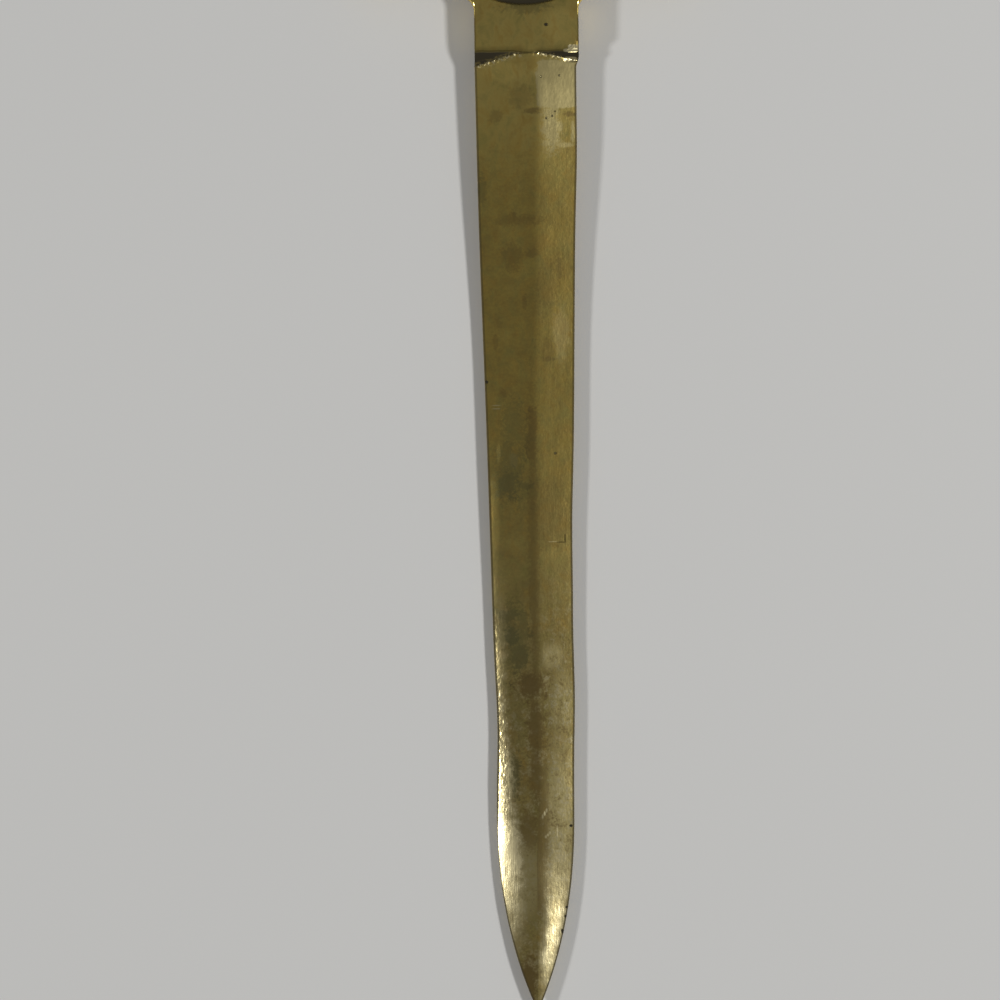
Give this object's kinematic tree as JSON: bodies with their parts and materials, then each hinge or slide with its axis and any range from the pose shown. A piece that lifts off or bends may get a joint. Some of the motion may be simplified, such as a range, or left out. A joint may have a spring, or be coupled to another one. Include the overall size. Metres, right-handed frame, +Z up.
{
  "type": "letter opener",
  "caption": "Brass letter opener in dagger form: ridged tapering blade, flat ricasso, ball-ended cross guard, fluted grip and a ball pommel held by a domed nut on the tang.",
  "frame": {"origin": "middle of the bounding box, on the table that the opener lies on", "axes": "+X across the blade to its right side seen from above, +Y from the tip towards the nut, +Z up from the table"},
  "size_m": [0.052, 0.231, 0.0098],
  "materials": {
    "blade_brass": "aged satin, tarnished olive-brown with dark stains, rubbed bright along the edges near the tip",
    "hilt_brass": "aged, polished on the high places and dark in the hollows",
    "grip_brass": "aged, dark in the flutes and worn bright on the ribs between them",
    "fastener_brass": "turned, lightly tarnished"
  },
  "bodies": {
    "root": {"blade": "blade_brass", "tang_rod": "fastener_brass", "guard": "hilt_brass", "lower_collar": "hilt_brass", "lower_grip": "grip_brass", "grip_knop": "hilt_brass", "upper_grip": "grip_brass", "upper_collar": "hilt_brass", "pommel": "hilt_brass", "pommel_washer": "fastener_brass", "tang_nut": "fastener_brass"}
  },
  "joints": []
}
